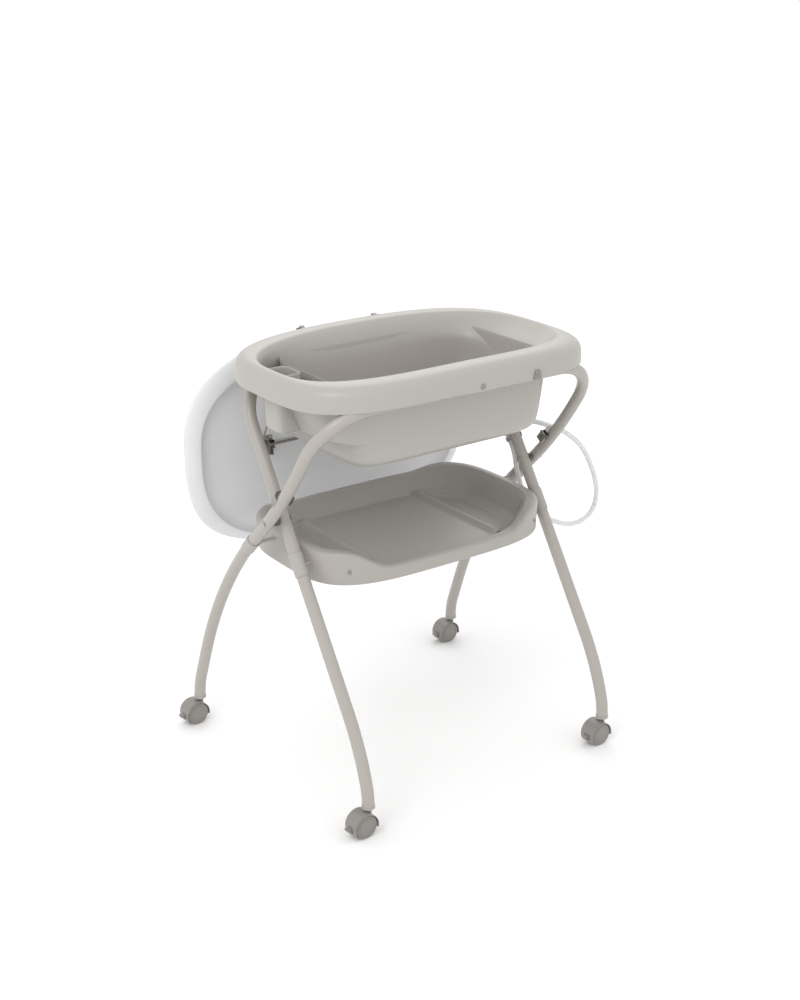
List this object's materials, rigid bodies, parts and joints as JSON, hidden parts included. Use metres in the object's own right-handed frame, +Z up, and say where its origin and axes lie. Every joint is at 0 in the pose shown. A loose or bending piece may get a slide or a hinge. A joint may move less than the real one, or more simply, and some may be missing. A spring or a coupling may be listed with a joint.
{
  "type": "baby changing table with bath",
  "caption": "Baby bath on a folding X-shaped tube frame with casters, a lower tray, a drain hose and a padded changing top hung behind it.",
  "frame": {"origin": "on the floor, under the middle of the bath, halfway between the front and back casters' stems", "axes": "+X along the bath from its narrow end with the cup well to the drain end, +Y from the front to the hanging changing top, +Z up"},
  "size_m": [0.9272, 0.6262, 0.883],
  "materials": {
    "tube_paint": "satin greige powder coat",
    "frame_plastic": "satin greige moulding",
    "spacer_plastic": "dark washer",
    "rivet_steel": "dull zinc",
    "clip_steel": "bright zinc sheet",
    "screw_steel": "zinc",
    "wire_steel": "bright zinc wire",
    "tub_plastic": "smooth greige moulding",
    "rim_parts": "satin greige",
    "plug_rubber": "pale soft plug",
    "hose_plastic": "milky clear tube",
    "hose_fitting": "white",
    "tray_plastic": "smooth greige moulding",
    "changer_plastic": "white moulding",
    "pad_cover": "wipe-clean white cover",
    "caster_plastic": "greige moulding",
    "wheel_plastic": "greige moulding",
    "caster_steel": "zinc"
  },
  "bodies": {
    "inner_frame": {"inner_leg_left": "tube_paint", "inner_leg_right": "tube_paint", "inner_crossbar": "tube_paint", "pivot_rivets": "rivet_steel", "pivot_spacers": "spacer_plastic", "inner_ferrules": "frame_plastic", "inner_collars": "frame_plastic", "bail_brackets": "frame_plastic", "hose": "hose_plastic", "hose_nozzle": "hose_fitting", "hose_clip": "frame_plastic"},
    "outer_frame": {"outer_leg_left": "tube_paint", "outer_leg_right": "tube_paint", "outer_crossbar": "tube_paint", "outer_ferrules": "frame_plastic", "outer_collars": "frame_plastic", "stay_clips": "clip_steel"},
    "tub": {"tub_shell": "tub_plastic", "tub_feet": "tub_plastic", "drain_elbow": "tub_plastic"},
    "plug": {"drain_plug": "plug_rubber"},
    "rim_button": {"rim_button": "rim_parts"},
    "rim_tab": {"rim_tab": "rim_parts"},
    "tray": {"tray_shell": "tray_plastic", "tray_screws": "screw_steel"},
    "bail": {"bail_arms": "wire_steel", "bail_rod": "wire_steel"},
    "changer": {"changer_shell": "changer_plastic", "changer_pad": "pad_cover", "changer_brackets": "clip_steel", "bracket_screws": "screw_steel"},
    "caster_fl": {"housing_fl": "caster_plastic", "stem_fl": "caster_steel", "axle_fl": "caster_steel"},
    "wheels_fl": {"wheels_fl": "wheel_plastic"},
    "brake_fl": {"brake_fl": "caster_plastic"},
    "caster_fr": {"housing_fr": "caster_plastic", "stem_fr": "caster_steel", "axle_fr": "caster_steel"},
    "wheels_fr": {"wheels_fr": "wheel_plastic"},
    "brake_fr": {"brake_fr": "caster_plastic"},
    "caster_bl": {"housing_bl": "caster_plastic", "stem_bl": "caster_steel", "axle_bl": "caster_steel"},
    "wheels_bl": {"wheels_bl": "wheel_plastic"},
    "brake_bl": {"brake_bl": "caster_plastic"},
    "caster_br": {"housing_br": "caster_plastic", "stem_br": "caster_steel", "axle_br": "caster_steel"},
    "wheels_br": {"wheels_br": "wheel_plastic"},
    "brake_br": {"brake_br": "caster_plastic"}
  },
  "joints": [
    {"name": "frame_fold", "type": "hinge", "parent": "inner_frame", "child": "outer_frame", "pos_m": [0, -0.0082, 0.5666], "axis": [-1, 0, 0], "range_deg": [0, 12]},
    {"name": "tub_lift", "type": "slide", "parent": "inner_frame", "child": "tub", "axis": [0, 0, 1], "range_m": [0, 0.42]},
    {"name": "plug_pull", "type": "slide", "parent": "tub", "child": "plug", "axis": [0, 0, 1], "range_m": [0, 0.02]},
    {"name": "button_press", "type": "slide", "parent": "tub", "child": "rim_button", "axis": [0, 1, 0], "range_m": [0, 0.0015], "stiffness_N_per_m": 400},
    {"name": "tab_press", "type": "slide", "parent": "tub", "child": "rim_tab", "axis": [0, 1, 0], "range_m": [0, 0.001], "stiffness_N_per_m": 400},
    {"name": "tray_lift", "type": "slide", "parent": "inner_frame", "child": "tray", "axis": [0, 0, 1], "range_m": [0, 0.08]},
    {"name": "bail_swing", "type": "hinge", "parent": "inner_frame", "child": "bail", "pos_m": [0, 0.25, 0.866], "axis": [-1, 0, 0], "range_deg": [-259.21, 0]},
    {"name": "changer_tilt", "type": "hinge", "parent": "bail", "child": "changer", "pos_m": [0, 0.27, 0.617], "axis": [-1, 0, 0], "range_deg": [0, 169.22]},
    {"name": "swivel_fl", "type": "hinge", "parent": "inner_frame", "child": "caster_fl", "pos_m": [-0.307, -0.293, 0.058], "axis": [0, 0, 1], "continuous": true},
    {"name": "roll_fl", "type": "hinge", "parent": "caster_fl", "child": "wheels_fl", "pos_m": [-0.322, -0.293, 0.025], "axis": [0, 1, 0], "continuous": true},
    {"name": "brake_press_fl", "type": "slide", "parent": "caster_fl", "child": "brake_fl", "axis": [0.9903, 0, 0.1392], "range_m": [0, 0.0009], "stiffness_N_per_m": 500},
    {"name": "swivel_fr", "type": "hinge", "parent": "inner_frame", "child": "caster_fr", "pos_m": [0.307, -0.293, 0.058], "axis": [0, 0, 1], "continuous": true},
    {"name": "roll_fr", "type": "hinge", "parent": "caster_fr", "child": "wheels_fr", "pos_m": [0.292, -0.293, 0.025], "axis": [0, 1, 0], "continuous": true},
    {"name": "brake_press_fr", "type": "slide", "parent": "caster_fr", "child": "brake_fr", "axis": [0.9903, 0, 0.1392], "range_m": [0, 0.0009], "stiffness_N_per_m": 500},
    {"name": "swivel_bl", "type": "hinge", "parent": "outer_frame", "child": "caster_bl", "pos_m": [-0.35019, 0.297, 0.058], "axis": [0, 0, 1], "continuous": true},
    {"name": "roll_bl", "type": "hinge", "parent": "caster_bl", "child": "wheels_bl", "pos_m": [-0.36519, 0.297, 0.025], "axis": [0, 1, 0], "continuous": true},
    {"name": "brake_press_bl", "type": "slide", "parent": "caster_bl", "child": "brake_bl", "axis": [0.9903, 0, 0.1392], "range_m": [0, 0.0009], "stiffness_N_per_m": 500},
    {"name": "swivel_br", "type": "hinge", "parent": "outer_frame", "child": "caster_br", "pos_m": [0.35019, 0.297, 0.058], "axis": [0, 0, 1], "continuous": true},
    {"name": "roll_br", "type": "hinge", "parent": "caster_br", "child": "wheels_br", "pos_m": [0.33519, 0.297, 0.025], "axis": [0, 1, 0], "continuous": true},
    {"name": "brake_press_br", "type": "slide", "parent": "caster_br", "child": "brake_br", "axis": [0.9903, 0, 0.1392], "range_m": [0, 0.0009], "stiffness_N_per_m": 500}
  ],
  "couplings": [
    {"joint": "tub_lift", "follows": "frame_fold", "m_per_rad": 2},
    {"joint": "changer_tilt", "follows": "bail_swing", "ratio": -0.65279}
  ]
}
